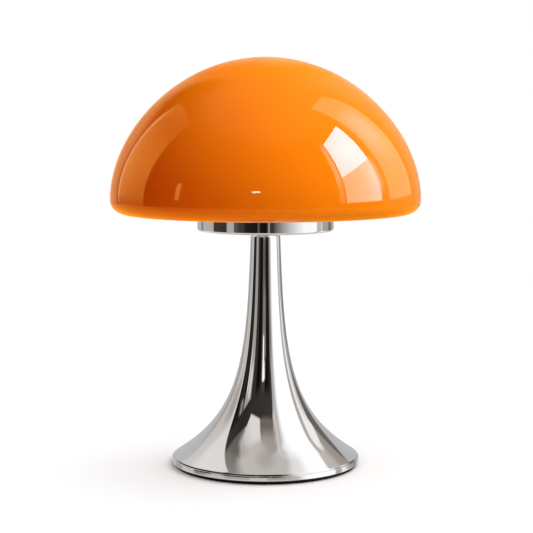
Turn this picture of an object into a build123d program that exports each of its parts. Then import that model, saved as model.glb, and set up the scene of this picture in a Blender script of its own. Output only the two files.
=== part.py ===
from build123d import *
import os
from math import cos, radians, sin, sqrt

# A mushroom table lamp: a glass shade stands loose in a chromed gallery cup, on a chromed
# trumpet foot with a weight inside. Millimetres, +Z up, origin on the floor under the axis.
# The front is -Y, and the mains cord enters at the back, +Y.

# ---------------------------------------------------------------- driving dimensions
# clearances
fitted_gap = 0.1             # between pieces that slide together once
thread_gap = 0.05            # between a plain thread and its hole

# foot: rubber ring, pan, trumpet shell
ring_height = 2.9            # rubber ring that the lamp stands on
ring_width = 9.0
ring_inset = 2.3             # ring's outer edge behind the pan's wall
ring_edge = 0.6              # rounding of the ring's lower edges
pan_radius = 92.3            # outside of the pan's turned-up wall, the widest part of the foot
pan_wall = 1.4
pan_height = 5.4             # pan's wall, from its underside to its rounded top edge
pan_edge = 0.6               # rounding of that top edge
pan_corner = 1.0             # rounding of the pan's lower corner
foot_wall = 1.5
foot_height = 223.0          # from the pan's floor to the top of the stem
foot_rim_height = 4.7        # straight skirt of the shell inside the pan
foot_rim_edge = 0.7          # rounding where the flare turns into the skirt
foot_rim_slope = 32.7        # slope of the flare at its rim, degrees below level
foot_flare_reach = 78.0      # how far the flare's curve keeps the rim's slope
stem_radius = 14.6           # at the top of the stem
stem_edge = 2.0              # rounding of the stem's top edge
stem_swell = 4.3             # widening of the stem's curve over stem_reach
stem_reach = 124.0

# weight inside the foot
ballast_radius = 74.0
ballast_height = 15.6
ballast_step = 6.6           # straight edge of the weight, below its cone
ballast_top_radius = 60.0
boss_radius = 15.0
boss_height = 12.0
recess_radius = 13.0         # room under the boss for the bend of the lead
recess_height = 16.6
channel_width = 9.0
channel_height = 8.4

# screws that hold the pan to the weight
pan_screw_count = 3
pan_screw_circle = 48.0      # radius of the screw circle
pan_screw_radius = 2.0
pan_screw_head_radius = 3.8
pan_screw_head_height = 1.1
pan_screw_length = 9.0
pan_screw_start = 30.0       # angle of the first screw from +X, degrees
pan_screw_slot = 1.0         # width of the cross slot
pan_screw_slot_depth = 0.8

# cord entry at the back of the foot
gland_height = 14.6          # axis above the pan's underside
gland_bore = 3.4             # radius of the hole for the cord
gland_radius = 5.2
gland_flange_radius = 7.2    # collar inside the foot that holds the gland in
gland_flange = 2.0
gland_length = 24.0
gland_mouth_edge = 1.2
gland_inset = 5.0            # mouth inside the pan's wall

# terminal block and the lead to the lampholder
block_width = 19.0
block_length = 20.0
block_height = 12.5
block_corner = 1.5
block_edge = 0.8
cord_room = 2.3              # between the block and the inner end of the gland
pocket_gap = 3.0             # room round the block in the weight
pole_spacing = 9.0           # between the two poles of the block
pole_rows = 10.0             # between the two screws of a pole
well_radius = 2.6            # hole above each terminal screw
well_depth = 6.0
terminal_screw_radius = 2.0
terminal_screw_length = 4.0
terminal_slot = 0.6
terminal_slot_depth = 0.7
block_screw_radius = 1.5
block_screw_head = 2.6       # radius of its head
block_screw_head_height = 2.0
block_screw_depth = 6.2      # underside of the head below the top of the block
lead_radius = 2.75
lead_bend = 12.0

# tube, nuts and washers (M10 x 1)
tube_radius = 5.0
tube_bore = 3.6
nut_across_flats = 14.0
nut_height = 3.2
nut_chamfer = 0.6
washer_radius = 10.5
washer_height = 1.2

# top of the foot
spacer_radius = 11.0
spacer_height = 4.5
spacer_edge = 0.4
cup_radius = 66.7
cup_height = 15.3
cup_wall = 1.3
cup_corner = 2.4             # rounding of the cup's lower edge
cup_lip = 0.5                # rounding of the cup's upper edge
vent_count = 6
vent_radius = 4.0
vent_circle = 38.0
seat_height = 2.0
seat_width = 7.0
seat_gap = 0.6               # seat ring to the cup's wall

# glass shade, heights above the bottom of its neck
glass_wall = 3.2
neck_radius = 63.2
shade_height = 164.9
shade_radius = 151.4
widest_height = 27.2         # height of the widest circle
lip_height = 14.1            # height of the lowest circle of the turned-in lip
lip_inset = 12.4             # lowest circle of the lip, in from the widest circle
crown_reach = 87.4           # how far the crown stays nearly flat
shoulder_reach = 62.4        # how far the side stays nearly upright
corner_reach = 8.6           # the same, below the widest circle
lip_reach = 4.3
underside_rise = 2.6         # from the lip up to the root of the neck
neck_blend = 7.0             # rounding between the underside and the neck
underside_share = 0.35       # share of the underside's width that stays level at each end
mouth_share = 0.25           # ground edges of the neck's end, as a share of the wall

# lampholder
holder_radius = 20.0
holder_wall = 1.8
holder_boss_radius = 9.0
holder_boss_height = 6.0
holder_cap_height = 19.0
bell_rise = 5.7              # bend of the bell's side above its start
holder_sleeve_height = 33.0
sleeve_lip = 1.6             # inward lip at the sleeve's mouth
sleeve_edge = 1.0
tube_into_holder = 9.0
core_height = 9.0
core_pocket_radius = 8.0
core_pocket_depth = 3.5
shell_bore = 13.6
shell_wall = 0.5
shell_height = 22.0
shell_lap = 1.0              # shell's floor to the edge of the core's pocket
contact_width = 5.0
contact_strip = 0.6
contact_rise = 3.0
contact_tail = 6.0           # reach of the strip's foot from the axis
contact_knee = 2.4           # half the strip's flat top
holder_screw_radius = 1.6
holder_screw_length = 5.0
holder_screw_circle = 12.0
holder_slot = 0.6
holder_slot_depth = 0.8

# bulb, heights above its tip
bulb_length = 108.0
bulb_radius = 30.0
globe_wall = 1.0
globe_cut = 12.0             # globe's edge below its centre, where the housing starts
tip_radius = 4.6
tip_height = 1.4
tip_edge = 1.0
insulator_height = 3.2
insulator_radius = 5.6       # at the tip
cap_radius = 13.1
cap_foot_radius = 9.0
cap_taper = 4.0
cap_height = 20.0
housing_neck_radius = 14.2
housing_neck_reach = 8.0     # how far the housing stays nearly upright at its neck
housing_top_reach = 10.0     # how far it keeps the globe's slope
board_radius = 20.0
board_height = 1.6

quarter_handle = 0.5523      # handle of a curve that turns a quarter circle, per unit radius
flare_handle = 0.4           # the same, for the foot's shallower flare

# ---------------------------------------------------------------- sizes that follow
pan_bottom = ring_height
pan_floor = pan_bottom + pan_wall
foot_top = pan_floor + foot_height
spacer_bottom = foot_top
cup_bottom = spacer_bottom + spacer_height
cup_floor = cup_bottom + cup_wall
seat_top = cup_floor + seat_height
shade_bottom = seat_top
washer_top = cup_floor + washer_height
nut_top = washer_top + nut_height
holder_bottom = nut_top
holder_joint = holder_bottom + holder_cap_height
core_top = holder_joint + core_height
bulb_bottom = core_top + contact_rise + contact_strip
tube_bottom = pan_floor + recess_height
tube_top = holder_bottom + tube_into_holder
hole_radius = tube_radius + thread_gap
lip_radius = shade_radius - lip_inset
globe_start = bulb_length - bulb_radius - globe_cut
globe_edge = sqrt(bulb_radius**2 - globe_cut**2)

# places at the back of the foot, along +Y
gland_start = pan_radius - gland_inset - gland_length
block_start = gland_start - cord_room - block_length
block_middle = block_start + block_length / 2

Base = (Align.CENTER, Align.CENTER, Align.MIN)


# ---------------------------------------------------------------- helpers
def disc(radius, height, bottom):
    return Pos(0, 0, bottom) * Cylinder(radius, height, align=Base)


def collar(radius, bore, height, bottom):
    return disc(radius, height, bottom) - disc(bore, height, bottom)


def lathe(*edges):
    """Turn a closed outline of (radius, height) edges about the lamp's axis."""
    outline = make_face(Plane.XZ * Curve(children=list(edges)))
    return revolve(outline, Axis.Z)


def polar(radius, count, start=0.0):
    turns = [radians(start + 360.0 * i / count) for i in range(count)]
    return [(radius * cos(a), radius * sin(a)) for a in turns]


def hex_nut(bottom):
    corner = nut_across_flats / sqrt(3)
    blank = extrude(Pos(0, 0, bottom) * RegularPolygon(corner, 6), nut_height)
    dome = disc(corner, nut_height, bottom)
    dome = chamfer(dome.edges(), nut_chamfer)
    return (blank & dome) - disc(hole_radius, nut_height, bottom)


def circles(edges):
    """Round edges, smallest first."""
    return edges.filter_by(GeomType.CIRCLE).sort_by(SortBy.RADIUS)


def washer(bottom):
    return collar(washer_radius, hole_radius, washer_height, bottom)


# ---------------------------------------------------------------- foot
def foot_ring():
    outer = pan_radius - ring_inset
    ring = collar(outer, outer - ring_width, ring_height, 0)
    low_edges = ring.edges().group_by(Axis.Z)[0]
    return fillet(low_edges, ring_edge)


def base_pan():
    body = disc(pan_radius, pan_height, pan_bottom)
    body = fillet(body.edges().group_by(Axis.Z)[0], pan_corner)
    body -= disc(pan_radius - pan_wall, pan_height, pan_floor)
    rim = circles(body.edges().group_by(Axis.Z)[-1])[-1]
    body = fillet(rim, pan_edge)
    for x, y in polar(pan_screw_circle, pan_screw_count, pan_screw_start):
        body -= Pos(x, y, 0) * pan_screw(fitted_gap)
    body -= Pos(0, block_middle, 0) * disc(
        block_screw_radius + thread_gap, pan_wall, pan_bottom)
    return body


def foot_curve(inset):
    """The flare from the stem's top edge to the rim, moved in by inset along its own slope."""
    slope = radians(foot_rim_slope)
    skirt = pan_radius - pan_wall - fitted_gap
    edge = foot_rim_edge
    rim_r = skirt - edge * (1 - sin(slope)) - inset * sin(slope)
    rim_z = pan_floor + foot_rim_height + edge * cos(slope) - inset * cos(slope)
    stem_z = foot_top - stem_edge
    stem_handle = stem_reach + inset * flare_handle
    rim_handle = foot_flare_reach + inset * flare_handle
    return Bezier(
        (stem_radius - inset, stem_z),
        (stem_radius + stem_swell - inset, stem_z - stem_handle),
        (rim_r - rim_handle * cos(slope), rim_z + rim_handle * sin(slope)),
        (rim_r, rim_z),
    )


def foot_shell():
    slope = radians(foot_rim_slope)
    skirt = pan_radius - pan_wall - fitted_gap
    flare = foot_curve(0)
    rim = flare @ 1
    edge = TangentArc(rim, (skirt, pan_floor + foot_rim_height), tangent=flare % 1)
    outside = lathe(
        Line((0, pan_floor), (0, foot_top)),
        Line((0, foot_top), (stem_radius - stem_edge, foot_top)),
        TangentArc((stem_radius - stem_edge, foot_top), flare @ 0, tangent=(1, 0)),
        flare,
        edge,
        Line((skirt, pan_floor + foot_rim_height), (skirt, pan_floor)),
        Line((skirt, pan_floor), (0, pan_floor)),
    )
    inner_flare = foot_curve(foot_wall)
    inner_skirt = skirt - foot_wall
    inner_top = foot_top - foot_wall
    inner_rim = inner_flare @ 1
    rim_drop = (inner_skirt - inner_rim.X) / cos(slope) * sin(slope)
    inside = lathe(
        Line((0, pan_floor), (0, inner_top)),
        Line((0, inner_top), (stem_radius - stem_edge, inner_top)),
        Line((stem_radius - stem_edge, inner_top), inner_flare @ 0),
        inner_flare,
        Line(inner_rim, (inner_skirt, inner_rim.Y - rim_drop)),
        Line((inner_skirt, inner_rim.Y - rim_drop), (inner_skirt, pan_floor)),
        Line((inner_skirt, pan_floor), (0, pan_floor)),
    )
    shell = outside - inside
    shell -= disc(hole_radius, foot_wall * 2, inner_top - foot_wall)
    return shell - gland_place() * Cylinder(
        gland_radius + fitted_gap, gland_length, align=Base)


def gland_place():
    """Inner end of the gland; its own +Z points out at the back of the foot."""
    return Pos(0, gland_start, pan_bottom + gland_height) * Rot(-90, 0, 0)


def cord_gland():
    body = Cylinder(gland_radius, gland_length, align=Base)
    mouth = body.edges().group_by(Axis.Z)[-1]
    body = fillet(mouth, gland_mouth_edge)
    body += Cylinder(gland_flange_radius, gland_flange, align=Base)
    return gland_place() * (body - Cylinder(gland_bore, gland_length, align=Base))


# ---------------------------------------------------------------- weight, lead and screws
def ballast():
    top = pan_floor + ballast_height
    boss_top = top + boss_height
    body = lathe(
        Polyline(
            (0, pan_floor),
            (ballast_radius, pan_floor),
            (ballast_radius, pan_floor + ballast_step),
            (ballast_top_radius, top),
            (boss_radius, top),
            (boss_radius, boss_top),
            (0, boss_top),
            close=True,
        )
    )
    body -= disc(recess_radius, recess_height, pan_floor)
    body -= disc(hole_radius, boss_top, pan_floor)
    channel = Pos(0, block_start / 2, pan_floor) * Box(
        channel_width, block_start, channel_height, align=Base)
    pocket_start = block_start - pocket_gap
    pocket = Pos(0, pocket_start, pan_floor) * Box(
        block_width + 2 * pocket_gap, ballast_radius, ballast_height,
        align=(Align.CENTER, Align.MIN, Align.MIN))
    body -= channel + pocket
    for x, y in polar(pan_screw_circle, pan_screw_count, pan_screw_start):
        body -= Pos(x, y, 0) * disc(
            pan_screw_radius + thread_gap, pan_screw_length, pan_bottom)
    return body


def pan_screw(gap=0.0):
    head = Pos(0, 0, pan_bottom) * Cone(
        pan_screw_head_radius + gap, pan_screw_radius + gap, pan_screw_head_height, align=Base)
    return head + disc(pan_screw_radius + gap, pan_screw_length, pan_bottom)


def pan_screws():
    slot = Pos(0, 0, pan_bottom) * Box(
        pan_screw_head_radius, pan_screw_slot, pan_screw_slot_depth, align=Base)
    cross = slot + Rot(0, 0, 90) * slot
    screw = pan_screw() - cross
    spots = polar(pan_screw_circle, pan_screw_count, pan_screw_start)
    return Compound(children=[Pos(x, y, 0) * screw for x, y in spots])


def pole_places():
    """Centre of each terminal screw on top of the block."""
    rows = (block_middle - pole_rows / 2, block_middle + pole_rows / 2)
    return [(side * pole_spacing / 2, y) for side in (-1, 1) for y in rows]


def terminal_block():
    top = pan_floor + block_height
    body = Pos(0, block_middle, pan_floor) * Box(
        block_width, block_length, block_height, align=Base)
    body = fillet(body.edges().filter_by(Axis.Z), block_corner)
    body = chamfer(body.edges().group_by(Axis.Z)[-1], block_edge)
    for x, y in pole_places():
        body -= Pos(x, y, 0) * disc(well_radius, well_depth, top - well_depth)
    body -= Pos(0, block_middle, 0) * (
        disc(block_screw_radius + thread_gap, block_height, pan_floor)
        + disc(block_screw_head + fitted_gap, block_screw_depth, top - block_screw_depth))
    return body


def terminal_screws():
    bottom = pan_floor + block_height - well_depth
    slot = Pos(0, 0, bottom + terminal_screw_length - terminal_slot_depth) * Box(
        2 * terminal_screw_radius, terminal_slot, terminal_slot_depth, align=Base)
    screw = disc(terminal_screw_radius, terminal_screw_length, bottom) - slot
    return Compound(children=[Pos(x, y, 0) * screw for x, y in pole_places()])


def block_screw():
    head_bottom = pan_floor + block_height - block_screw_depth
    shank = disc(block_screw_radius, head_bottom - pan_bottom, pan_bottom)
    head = disc(block_screw_head, block_screw_head_height, head_bottom)
    return Pos(0, block_middle, 0) * (shank + head)


def inner_lead():
    level = pan_floor + channel_height / 2
    end = holder_joint
    path = FilletPolyline(
        (0, block_start, level), (0, 0, level), (0, 0, end), radius=lead_bend)
    section = Plane(origin=path @ 0, z_dir=path % 0) * Circle(lead_radius)
    return sweep(section, path)


def ballast_washer():
    return washer(pan_floor + ballast_height + boss_height)


def ballast_nut():
    return hex_nut(pan_floor + ballast_height + boss_height + washer_height)


def threaded_tube():
    return collar(tube_radius, tube_bore, tube_top - tube_bottom, tube_bottom)


# ---------------------------------------------------------------- gallery
def neck_spacer():
    spacer = collar(spacer_radius, hole_radius, spacer_height, spacer_bottom)
    return chamfer(circles(spacer.edges())[-2:], spacer_edge)


def gallery_cup():
    cup = disc(cup_radius, cup_height, cup_bottom)
    cup = fillet(cup.edges().group_by(Axis.Z)[0], cup_corner)
    room = disc(cup_radius - cup_wall, cup_height, cup_floor)
    room = fillet(room.edges().group_by(Axis.Z)[0], cup_corner - cup_wall)
    cup -= room
    rim = cup.edges().group_by(Axis.Z)[-1]
    cup = fillet(rim, cup_lip)
    cup -= disc(hole_radius, cup_wall, cup_bottom)
    for x, y in polar(vent_circle, vent_count):
        cup -= Pos(x, y, 0) * disc(vent_radius, cup_wall, cup_bottom)
    return cup


def shade_seat():
    outer = cup_radius - cup_wall - max(seat_gap, cup_corner - cup_wall)
    return collar(outer, outer - seat_width, seat_height, cup_floor)


def gallery_washer():
    return washer(cup_floor)


def gallery_nut():
    return hex_nut(washer_top)


# ---------------------------------------------------------------- glass shade
def shade_outline(inset):
    """Crown, shoulder, lip, underside and neck of the glass, moved in by inset."""
    base = shade_bottom
    top = base + shade_height - inset
    wide = shade_radius - inset
    waist = base + widest_height
    lip = base + lip_height + inset
    neck = neck_radius - inset
    root_z = lip + underside_rise
    blend = neck_blend + inset
    draw_in = inset * quarter_handle
    level = (lip_radius - neck) * underside_share
    crown = Bezier(
        (0, top),
        (crown_reach - draw_in, top),
        (wide, waist + shoulder_reach - draw_in),
        (wide, waist),
    )
    corner = Bezier(
        (wide, waist),
        (wide, waist - corner_reach + draw_in),
        (lip_radius + lip_reach - draw_in, lip),
        (lip_radius, lip),
    )
    under = Bezier(
        (lip_radius, lip),
        (lip_radius - level, lip),
        (neck + blend + level, root_z),
        (neck + blend, root_z),
    )
    root = TangentArc((neck + blend, root_z), (neck, root_z - blend), tangent=(-1, 0))
    return [
        Line((0, base), (0, top)),
        crown,
        corner,
        under,
        root,
        Line((neck, root_z - blend), (neck, base)),
        Line((neck, base), (0, base)),
    ]


def shade():
    glass = lathe(*shade_outline(0)) - lathe(*shade_outline(glass_wall))
    mouth = glass.edges().group_by(Axis.Z)[0]
    return chamfer(mouth, glass_wall * mouth_share)


# ---------------------------------------------------------------- lampholder
def holder_cap():
    bottom = holder_bottom
    bell_start = bottom + holder_boss_height
    inner = holder_radius - holder_wall
    outer_bell = Bezier(
        (holder_boss_radius, bell_start),
        (holder_radius, bell_start),
        (holder_radius, bell_start + bell_rise),
        (holder_radius, holder_joint),
    )
    inner_bell = Bezier(
        (holder_boss_radius, bell_start + holder_wall),
        (inner, bell_start + holder_wall),
        (inner, bell_start + holder_wall + bell_rise),
        (inner, holder_joint),
    )
    bell = lathe(
        Polyline(
            (holder_radius, holder_joint), (inner, holder_joint)),
        inner_bell,
        Line((holder_boss_radius, bell_start + holder_wall), (hole_radius, bell_start + holder_wall)),
        Polyline(
            (hole_radius, bell_start + holder_wall), (hole_radius, bottom),
            (holder_boss_radius, bottom), (holder_boss_radius, bell_start)),
        outer_bell,
    )
    return bell


def holder_sleeve():
    inner = holder_radius - holder_wall
    body = collar(holder_radius, inner, holder_sleeve_height, holder_joint)
    mouth = holder_joint + holder_sleeve_height - sleeve_lip
    body += collar(holder_radius, inner - sleeve_lip, sleeve_lip, mouth)
    mouth_edge = circles(body.edges().group_by(Axis.Z)[-1])[-1]
    return fillet(mouth_edge, sleeve_edge)


def holder_core():
    outer = holder_radius - holder_wall - fitted_gap
    core = disc(outer, core_height, holder_joint)
    core -= disc(core_pocket_radius, core_pocket_depth, core_top - core_pocket_depth)
    for x, y in screw_places():
        core -= Pos(x, y, 0) * disc(
            holder_screw_radius + thread_gap, holder_screw_length, holder_joint)
    return core


def screw_places():
    return [(-holder_screw_circle, 0), (holder_screw_circle, 0)]


def holder_screws():
    slot = Pos(0, 0, holder_joint) * Box(
        2 * holder_screw_radius, holder_slot, holder_slot_depth, align=Base)
    screw = disc(holder_screw_radius, holder_screw_length, holder_joint) - slot
    return Compound(children=[Pos(x, y, 0) * screw for x, y in screw_places()])


def screw_shell():
    body = collar(shell_bore + shell_wall, shell_bore, shell_height, core_top)
    flange = collar(shell_bore, core_pocket_radius + shell_lap, shell_wall, core_top)
    return body + flange


def centre_contact():
    low = core_top - core_pocket_depth
    high = bulb_bottom - contact_strip
    tail = -contact_tail
    knee = -contact_knee
    outline = Polyline(
        (tail, low),
        (knee, low),
        (knee / 2, high),
        (-knee, high),
        (-knee, high + contact_strip),
        (knee, high + contact_strip),
        (knee - contact_strip * 2, low + contact_strip),
        (tail, low + contact_strip),
        close=True,
    )
    return extrude(make_face(Plane.XZ * outline), contact_width / 2, both=True)


# ---------------------------------------------------------------- bulb
def bulb_tip():
    tip = disc(tip_radius, tip_height, bulb_bottom)
    return fillet(tip.edges().group_by(Axis.Z)[0], tip_edge)


def bulb_insulator():
    low = bulb_bottom + tip_height
    return Pos(0, 0, low) * Cone(insulator_radius, cap_foot_radius, insulator_height, align=Base)


def bulb_cap():
    low = bulb_bottom + tip_height + insulator_height
    return lathe(
        Polyline(
            (0, low),
            (cap_foot_radius, low),
            (cap_radius, low + cap_taper),
            (cap_radius, low + cap_height),
            (0, low + cap_height),
            close=True,
        )
    )


def bulb_housing():
    low = bulb_bottom + tip_height + insulator_height + cap_height
    high = bulb_bottom + globe_start
    slope_in = housing_top_reach * globe_cut / bulb_radius
    slope_down = housing_top_reach * globe_edge / bulb_radius
    side = Bezier(
        (housing_neck_radius, low),
        (housing_neck_radius, low + housing_neck_reach),
        (globe_edge - slope_in, high - slope_down),
        (globe_edge, high),
    )
    return lathe(
        Polyline((0, high), (0, low), (housing_neck_radius, low)),
        side,
        Line((globe_edge, high), (0, high)),
    )


def bulb_globe():
    low = bulb_bottom + globe_start
    centre = Pos(0, 0, low + globe_cut)
    shell = centre * Sphere(bulb_radius) - centre * Sphere(bulb_radius - globe_wall)
    return shell - disc(bulb_radius, globe_start, low - globe_start)


def bulb_board():
    return disc(board_radius, board_height, bulb_bottom + globe_start)


# ---------------------------------------------------------------- all sub-parts
makers = [
    foot_ring, base_pan, pan_screws, foot_shell, cord_gland,
    ballast, ballast_washer, ballast_nut,
    terminal_block, terminal_screws, block_screw, inner_lead, threaded_tube,
    neck_spacer, gallery_cup, gallery_washer, gallery_nut, shade_seat, shade,
    holder_cap, holder_sleeve, holder_core, holder_screws, screw_shell, centre_contact,
    bulb_tip, bulb_insulator, bulb_cap, bulb_housing, bulb_board, bulb_globe,
]

os.makedirs("parts", exist_ok=True)
for maker in makers:
    export_step(maker(), f"parts/{maker.__name__}.step")
    print("wrote", maker.__name__)
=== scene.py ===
import math

import bmesh
import bpy
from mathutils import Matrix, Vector


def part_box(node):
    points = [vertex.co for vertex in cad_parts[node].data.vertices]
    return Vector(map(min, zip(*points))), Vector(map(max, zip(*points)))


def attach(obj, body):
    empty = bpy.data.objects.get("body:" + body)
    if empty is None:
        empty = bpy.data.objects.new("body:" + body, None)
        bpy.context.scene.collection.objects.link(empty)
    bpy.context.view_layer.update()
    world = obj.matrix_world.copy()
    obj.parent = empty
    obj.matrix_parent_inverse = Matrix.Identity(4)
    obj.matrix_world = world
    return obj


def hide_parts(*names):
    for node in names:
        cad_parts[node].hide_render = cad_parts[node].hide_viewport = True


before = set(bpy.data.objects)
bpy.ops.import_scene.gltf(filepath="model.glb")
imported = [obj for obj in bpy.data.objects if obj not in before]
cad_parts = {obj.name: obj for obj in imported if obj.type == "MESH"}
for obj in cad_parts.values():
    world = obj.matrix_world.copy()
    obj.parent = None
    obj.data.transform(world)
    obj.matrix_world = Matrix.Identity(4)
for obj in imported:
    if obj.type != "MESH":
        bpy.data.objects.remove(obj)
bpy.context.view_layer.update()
print("frame loaded:", len(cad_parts), "nodes")


# curves and meshes: each line takes its number of steps last

nearZero = 1e-6


def bezierLine(a, b, c, d, steps):
    line = []
    for i in range(steps + 1):
        t = i / steps
        s = 1 - t
        line.append(tuple(
            s**3 * p + 3 * s * s * t * q + 3 * s * t * t * r + t**3 * w
            for p, q, r, w in zip(a, b, c, d)))
    return line


def arcLine(centre, radius, start, end, steps):
    turns = [math.radians(start + (end - start) * i / steps) for i in range(steps + 1)]
    return [(centre[0] + radius * math.cos(t), centre[1] + radius * math.sin(t)) for t in turns]


def straightLine(a, b, steps):
    return [tuple(p + (q - p) * i / steps for p, q in zip(a, b)) for i in range(steps + 1)]


def joinLines(*lines):
    joined = []
    for line in lines:
        for point in line:
            if not joined or math.dist(joined[-1], point) > nearZero:
                joined.append(point)
    if math.dist(joined[0], joined[-1]) < nearZero:
        joined.pop()
    return joined


def finishMesh(mesh, sharpAngle=35):
    shape = bmesh.new()
    shape.from_mesh(mesh)
    bmesh.ops.recalc_face_normals(shape, faces=shape.faces)
    shape.to_mesh(mesh)
    shape.free()
    mesh.shade_smooth()
    mesh.set_sharp_from_angle(angle=math.radians(sharpAngle))
    return mesh


def gridMesh(name, rings):
    # rings of points, closed round and closed from the last ring to the first
    # a ring of one point is a pole
    mesh = bpy.data.meshes.new(name)
    turns = max(len(ring) for ring in rings)
    points, places, faces = [], [], []
    for ring in rings:
        first = len(points)
        points.extend(ring)
        places.append([first] * turns if len(ring) == 1 else list(range(first, first + turns)))
    for low, high in zip(places, places[1:] + places[:1]):
        for i in range(turns):
            k = (i + 1) % turns
            corners = list(dict.fromkeys((low[i], low[k], high[k], high[i])))
            if len(corners) > 2:
                faces.append(corners)
    mesh.from_pydata(points, [], faces)
    return finishMesh(mesh)


def latheMesh(name, outline, turns=256):
    # a closed outline of (radius, height) turned about the lamp's axis
    rings = []
    for radius, height in outline:
        if radius < nearZero:
            rings.append([(0.0, 0.0, height)])
        else:
            angles = [math.tau * i / turns for i in range(turns)]
            rings.append([(radius * math.cos(a), radius * math.sin(a), height) for a in angles])
    return gridMesh(name, rings)


def holeCircle(turns, circle, height, radius, depth):
    # upright holes on a circle about the lamp's axis
    return [((circle * math.cos(a), circle * math.sin(a), height), radius, depth, (0, 0, 1))
            for a in turns]


def drillHoles(mesh, holes, sides=48):
    # holes of (centre, radius, depth, direction) through a closed mesh
    body = bpy.data.objects.new("drilled", mesh)
    bpy.context.scene.collection.objects.link(body)
    shape = bmesh.new()
    for centre, radius, depth, direction in holes:
        turn = Vector((0, 0, 1)).rotation_difference(Vector(direction)).to_matrix().to_4x4()
        turn.translation = Vector(centre)
        bmesh.ops.create_cone(shape, cap_ends=True, segments=sides, radius1=radius, radius2=radius,
                              depth=depth, matrix=turn)
    cutterMesh = bpy.data.meshes.new("drill")
    shape.to_mesh(cutterMesh)
    shape.free()
    cutter = bpy.data.objects.new("drill", cutterMesh)
    bpy.context.scene.collection.objects.link(cutter)
    cut = body.modifiers.new("holes", "BOOLEAN")
    cut.object = cutter
    cut.operation = "DIFFERENCE"
    cut.solver = "MANIFOLD"
    graph = bpy.context.evaluated_depsgraph_get()
    drilled = bpy.data.meshes.new_from_object(body.evaluated_get(graph))
    drilled.name = mesh.name
    bpy.data.objects.remove(body)
    bpy.data.objects.remove(cutter)
    return finishMesh(drilled)


def addPiece(name, mesh, material, body, slotName, *nodes):
    piece = bpy.data.objects.new(name, mesh)
    bpy.context.scene.collection.objects.link(piece)
    mesh.materials.clear()
    mesh.materials.append(material)
    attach(piece, body)
    if nodes:
        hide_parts(*nodes)
    return piece


# node trees

def addNode(tree, kind, inputs=None, **settings):
    node = tree.nodes.new(kind)
    for key, value in settings.items():
        setattr(node, key, value)
    for key, value in (inputs or {}).items():
        if isinstance(value, bpy.types.NodeSocket):
            tree.links.new(value, node.inputs[key])
        else:
            node.inputs[key].default_value = value
    return node


def doMath(tree, operation, *values):
    node = addNode(tree, "ShaderNodeMath", dict(enumerate(values)), operation=operation)
    return node.outputs[0]


def mixColour(tree, factor, a, b, blend="MIX"):
    # sockets 0, 6 and 7 are the factor and the two colours, and output 2 is what they mix to
    node = addNode(tree, "ShaderNodeMix", data_type="RGBA", blend_type=blend, clamp_factor=True)
    for key, value in ((0, factor), (6, a), (7, b)):
        if isinstance(value, bpy.types.NodeSocket):
            tree.links.new(value, node.inputs[key])
        else:
            node.inputs[key].default_value = value
    return node.outputs[2]


def ramp(tree, value, low, high, toLow, toHigh, kind="LINEAR"):
    node = addNode(tree, "ShaderNodeMapRange",
                   {0: value, 1: low, 2: high, 3: toLow, 4: toHigh}, interpolation_type=kind)
    return node.outputs[0]


def rgb(red, green, blue):
    return (red, green, blue, 1.0)


def newMaterial(name):
    material = bpy.data.materials.new(name)
    material.use_nodes = True
    tree = material.node_tree
    return material, tree, tree.nodes["Principled BSDF"]


# finishes

noiseSpan = (0.3, 0.7)     # the part of a noise's range that is used


def noiseOn(tree, scale, detail=2.0, stretch=(1, 1, 1)):
    place = addNode(tree, "ShaderNodeTexCoord").outputs["Object"]
    place = addNode(tree, "ShaderNodeMapping", {"Vector": place, "Scale": stretch}).outputs[0]
    noise = addNode(tree, "ShaderNodeTexNoise", {"Vector": place, "Scale": scale, "Detail": detail})
    return noise.outputs["Fac"]


paintedShadeBlend = {"out": 0.0002, "left": 0.002, "right": 0.004}     # how softly a painted shade line ends


def seamShare(tree, look):
    # how much of the colour is left under a painted shade line, a dark line painted in as shade and dark
    # reflection in a crease: the look gives its heights and its levels
    place = addNode(tree, "ShaderNodeTexCoord").outputs["Object"]
    across, _, height = addNode(tree, "ShaderNodeSeparateXYZ", {0: place}).outputs
    share = ramp(tree, height, *look["paintedShade"], "SMOOTHSTEP")
    spared = []
    if "paintedShadeFrom" in look:
        flat = addNode(tree, "ShaderNodeVectorMath", {0: place, 1: (1, 1, 0)}, operation="MULTIPLY")
        out = addNode(tree, "ShaderNodeVectorMath", {0: flat.outputs[0]}, operation="LENGTH").outputs[1]
        spared.append(ramp(tree, out, look["paintedShadeFrom"], look["paintedShadeFrom"] + paintedShadeBlend["out"], 1.0, 0.0))
    if "paintedShadeReach" in look:
        (left, right), blend = look["paintedShadeReach"], paintedShadeBlend
        spared.append(ramp(tree, across, left - blend["left"], left + blend["left"], 1.0, 0.0))
        spared.append(ramp(tree, across, right - blend["right"], right + blend["right"], 0.0, 1.0))
    for other in spared:
        share = doMath(tree, "MAXIMUM", share, other)
    return share


def surface(name, look):
    # colour that varies a little, roughness that varies, and a fine bump
    # patch and grain are the scales of the noise that they follow
    material, tree, shader = newMaterial(name)
    wide = noiseOn(tree, look["patch"], detail=3.0)
    fine = noiseOn(tree, look["grain"], detail=4.0, stretch=look.get("stretch", (1, 1, 1)))
    wide = ramp(tree, wide, *noiseSpan, 0.0, 1.0)
    colour = mixColour(tree, wide, rgb(*look["colour"]), rgb(*look["colourToo"]))
    # painted shade: the colour is multiplied down along a dark line
    if "paintedShade" in look:
        colour = mixColour(tree, 1.0, colour, seamShare(tree, look), "MULTIPLY")
    tree.links.new(colour, shader.inputs["Base Color"])
    rough = ramp(tree, fine, *noiseSpan, *look["rough"])
    tree.links.new(rough, shader.inputs["Roughness"])
    bump = addNode(tree, "ShaderNodeBump",
                   {"Height": fine, "Strength": look["bump"], "Distance": look["depth"]})
    tree.links.new(bump.outputs[0], shader.inputs["Normal"])
    shader.inputs["Metallic"].default_value = look.get("metal", 0.0)
    shader.inputs["Specular IOR Level"].default_value = look.get("gloss", 0.5)
    return material


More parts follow.
